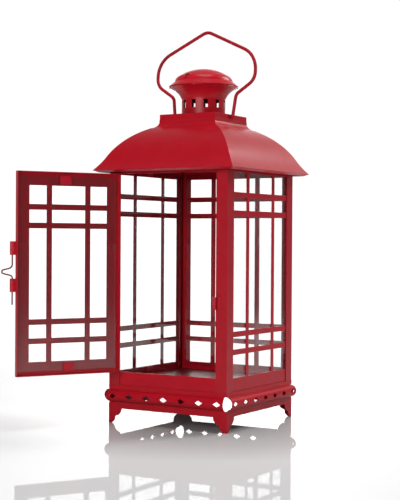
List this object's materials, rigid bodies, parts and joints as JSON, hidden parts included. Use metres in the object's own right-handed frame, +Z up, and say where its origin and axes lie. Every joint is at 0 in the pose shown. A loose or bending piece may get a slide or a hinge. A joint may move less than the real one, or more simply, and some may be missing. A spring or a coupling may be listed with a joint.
{
  "type": "candle lantern",
  "caption": "Square red sheet-metal candle lantern with glazed lattice sides, an open hinged door, an ogee roof, a vented chimney dome and a wire bail.",
  "frame": {"origin": "centre of the square base, on the plane that the four feet stand on", "axes": "+Z up through the chimney; the door is on the -Y side with its hinges at -X; +X to the right as seen facing the door side"},
  "size_m": [0.2241, 0.283, 0.4434],
  "materials": {
    "red_enamel_sheet": "satin red enamel over steel sheet",
    "red_enamel_small_parts": "satin red enamel over thin steel",
    "red_enamel_wire": "satin red enamel over steel wire",
    "clear_glass": "clear polished flat glass"
  },
  "bodies": {
    "frame": {"base_skirt_front": "red_enamel_sheet", "base_skirt_right": "red_enamel_sheet", "base_skirt_rear": "red_enamel_sheet", "base_skirt_left": "red_enamel_sheet", "floor_pan": "red_enamel_sheet", "post_front_left": "red_enamel_sheet", "post_front_right": "red_enamel_sheet", "post_rear_right": "red_enamel_sheet", "post_rear_left": "red_enamel_sheet", "front_sill": "red_enamel_sheet", "front_header": "red_enamel_sheet", "grille_right": "red_enamel_sheet", "glass_right": "clear_glass", "glass_tabs_right": "red_enamel_small_parts", "grille_rear": "red_enamel_sheet", "glass_rear": "clear_glass", "glass_tabs_rear": "red_enamel_small_parts", "grille_left": "red_enamel_sheet", "glass_left": "clear_glass", "glass_tabs_left": "red_enamel_small_parts", "top_ring": "red_enamel_sheet", "roof_clips": "red_enamel_sheet", "roof_shell": "red_enamel_sheet", "chimney_plate": "red_enamel_sheet", "chimney_sleeve": "red_enamel_sheet", "chimney_dome": "red_enamel_sheet", "hinge_post_leaf_lower": "red_enamel_small_parts", "hinge_pin_lower": "red_enamel_wire", "hinge_post_leaf_upper": "red_enamel_small_parts", "hinge_pin_upper": "red_enamel_wire", "latch_catch": "red_enamel_small_parts"},
    "door": {"door_frame": "red_enamel_sheet", "door_glass": "clear_glass", "door_glass_tab_bottom": "red_enamel_small_parts", "door_glass_tab_top": "red_enamel_small_parts", "hinge_door_leaf_lower": "red_enamel_small_parts", "hinge_door_leaf_upper": "red_enamel_small_parts", "latch_sleeve_upper": "red_enamel_small_parts", "latch_sleeve_lower": "red_enamel_small_parts"},
    "latch": {"latch_wire": "red_enamel_wire"},
    "bail": {"bail_handle": "red_enamel_wire"}
  },
  "joints": [
    {"name": "door_hinge", "type": "hinge", "parent": "frame", "child": "door", "pos_m": [-0.0623, -0.07795, 0.16], "axis": [0, 0, 1], "range_deg": [-60, 120]},
    {"name": "latch_lift", "type": "slide", "parent": "door", "child": "latch", "axis": [0, 0, 1], "range_m": [0, 0.0105]},
    {"name": "bail_swing", "type": "hinge", "parent": "frame", "child": "bail", "pos_m": [0, 0, 0.3428], "axis": [1, 0, 0], "range_deg": [-100, 108]}
  ]
}
